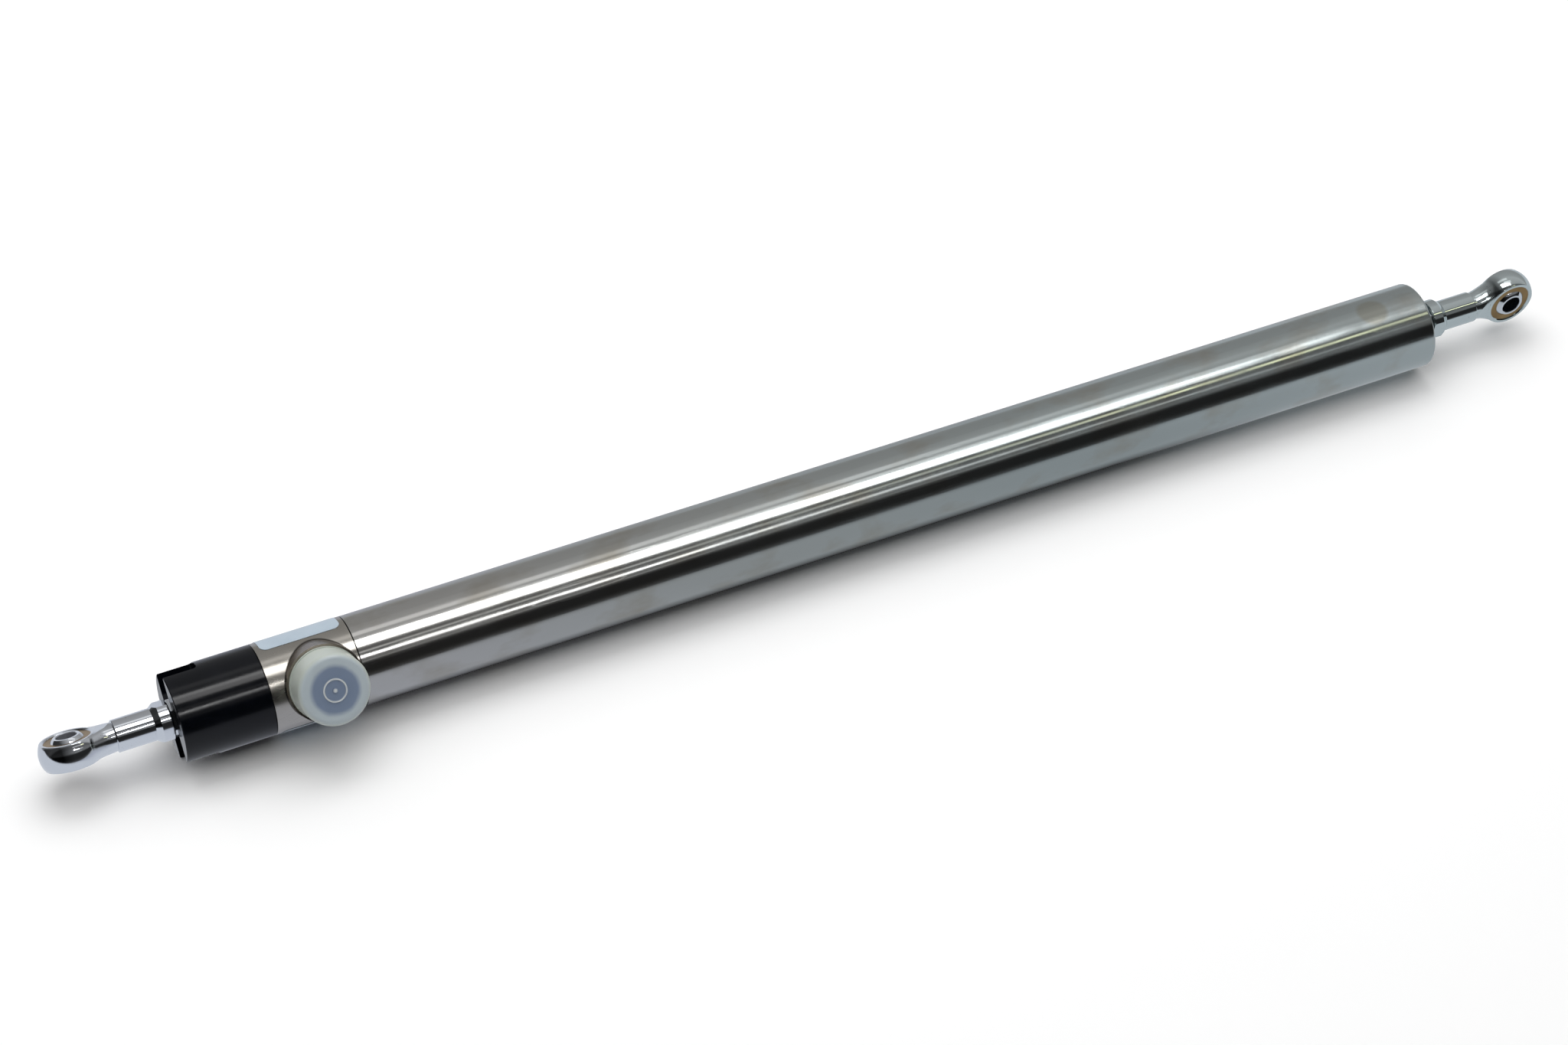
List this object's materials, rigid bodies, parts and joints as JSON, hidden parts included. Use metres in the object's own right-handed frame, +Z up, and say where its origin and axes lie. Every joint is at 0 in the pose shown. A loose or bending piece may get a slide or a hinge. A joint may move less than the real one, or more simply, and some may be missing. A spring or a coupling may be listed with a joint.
{
  "type": "inductive linear displacement transducer",
  "caption": "Tubular displacement transducer with a sliding rod, a spherical rod end at each end and a capped round side connector",
  "frame": {"origin": "centre of the rear rod end's ball", "axes": "X runs along the tube to the plunger's rod end, Z is up, Y points away from the side that the connector faces"},
  "size_m": [0.6554, 0.0536, 0.047],
  "materials": {
    "zinc_plate": "bright plated",
    "race_bronze": "dull",
    "black_anodised": "fine turned, glossy",
    "stainless": "ground",
    "nickel_plate": "satin",
    "insert_plastic": "matt",
    "gold_plate": "polished",
    "copper": "enamelled",
    "cap_plastic": "soft, slightly see-through",
    "label_film": "satin",
    "seal_rubber": "matt",
    "board_laminate": "satin",
    "chip_plastic": "matt",
    "can_aluminium": "satin",
    "moulded_plastic": "matt",
    "soft_iron": "dull",
    "slide_plastic": "smooth"
  },
  "bodies": {
    "barrel": {"rear_rod_end": "zinc_plate", "rear_race": "race_bronze", "rear_jam_nut": "zinc_plate", "rear_stud": "zinc_plate", "slotted_head": "black_anodised", "head_seal": "seal_rubber", "connector_housing": "stainless", "housing_seal": "seal_rubber", "connector_shell": "nickel_plate", "connector_seal": "seal_rubber", "contact_insert": "insert_plastic", "contact_pins": "gold_plate", "connector_leads": "copper", "bare_label": "label_film", "board_carrier": "moulded_plastic", "circuit_board": "board_laminate", "board_chips": "chip_plastic", "board_capacitors": "can_aluminium", "board_inductor": "chip_plastic", "board_screws": "stainless", "coil_leads": "copper", "coil_former": "moulded_plastic", "rear_coil": "copper", "front_coil": "copper", "magnetic_shield": "soft_iron", "outer_tube": "stainless", "liner_tube": "stainless", "liner_plug": "stainless", "rear_stop": "seal_rubber", "front_stop": "seal_rubber", "front_plug": "stainless", "front_bush": "slide_plastic", "rod_wiper": "seal_rubber", "wiper_washer": "stainless", "front_clip": "stainless"},
    "rear_swivel": {"rear_ball": "zinc_plate"},
    "guide": {"guide_ring": "slide_plastic"},
    "plunger": {"plunger_rod": "stainless", "armature": "soft_iron", "armature_spacer": "stainless", "retaining_nut": "stainless", "front_jam_nut": "zinc_plate", "front_rod_end": "zinc_plate", "front_race": "race_bronze"},
    "front_swivel": {"front_ball": "zinc_plate"},
    "cap": {"dust_cap": "cap_plastic"}
  },
  "joints": [
    {"name": "plunger_slide", "type": "slide", "parent": "barrel", "child": "guide", "axis": [1, 0, 0], "range_m": [0, 0.36]},
    {"name": "plunger_turn", "type": "hinge", "parent": "guide", "child": "plunger", "pos_m": [0.13475, 0, 0], "axis": [1, 0, 0], "continuous": true},
    {"name": "rear_ball_tilt", "type": "hinge", "parent": "barrel", "child": "rear_swivel", "pos_m": [0, 0, 0], "axis": [0, -0.866, 0.5], "range_deg": [-13, 13]},
    {"name": "front_ball_tilt", "type": "hinge", "parent": "plunger", "child": "front_swivel", "pos_m": [0.6314, 0, 0], "axis": [0, -0.1045, 0.9945], "range_deg": [-13, 13]},
    {"name": "cap_pull", "type": "slide", "parent": "barrel", "child": "cap", "axis": [0, -0.8536, 0.521], "range_m": [0, 0.018]}
  ]
}
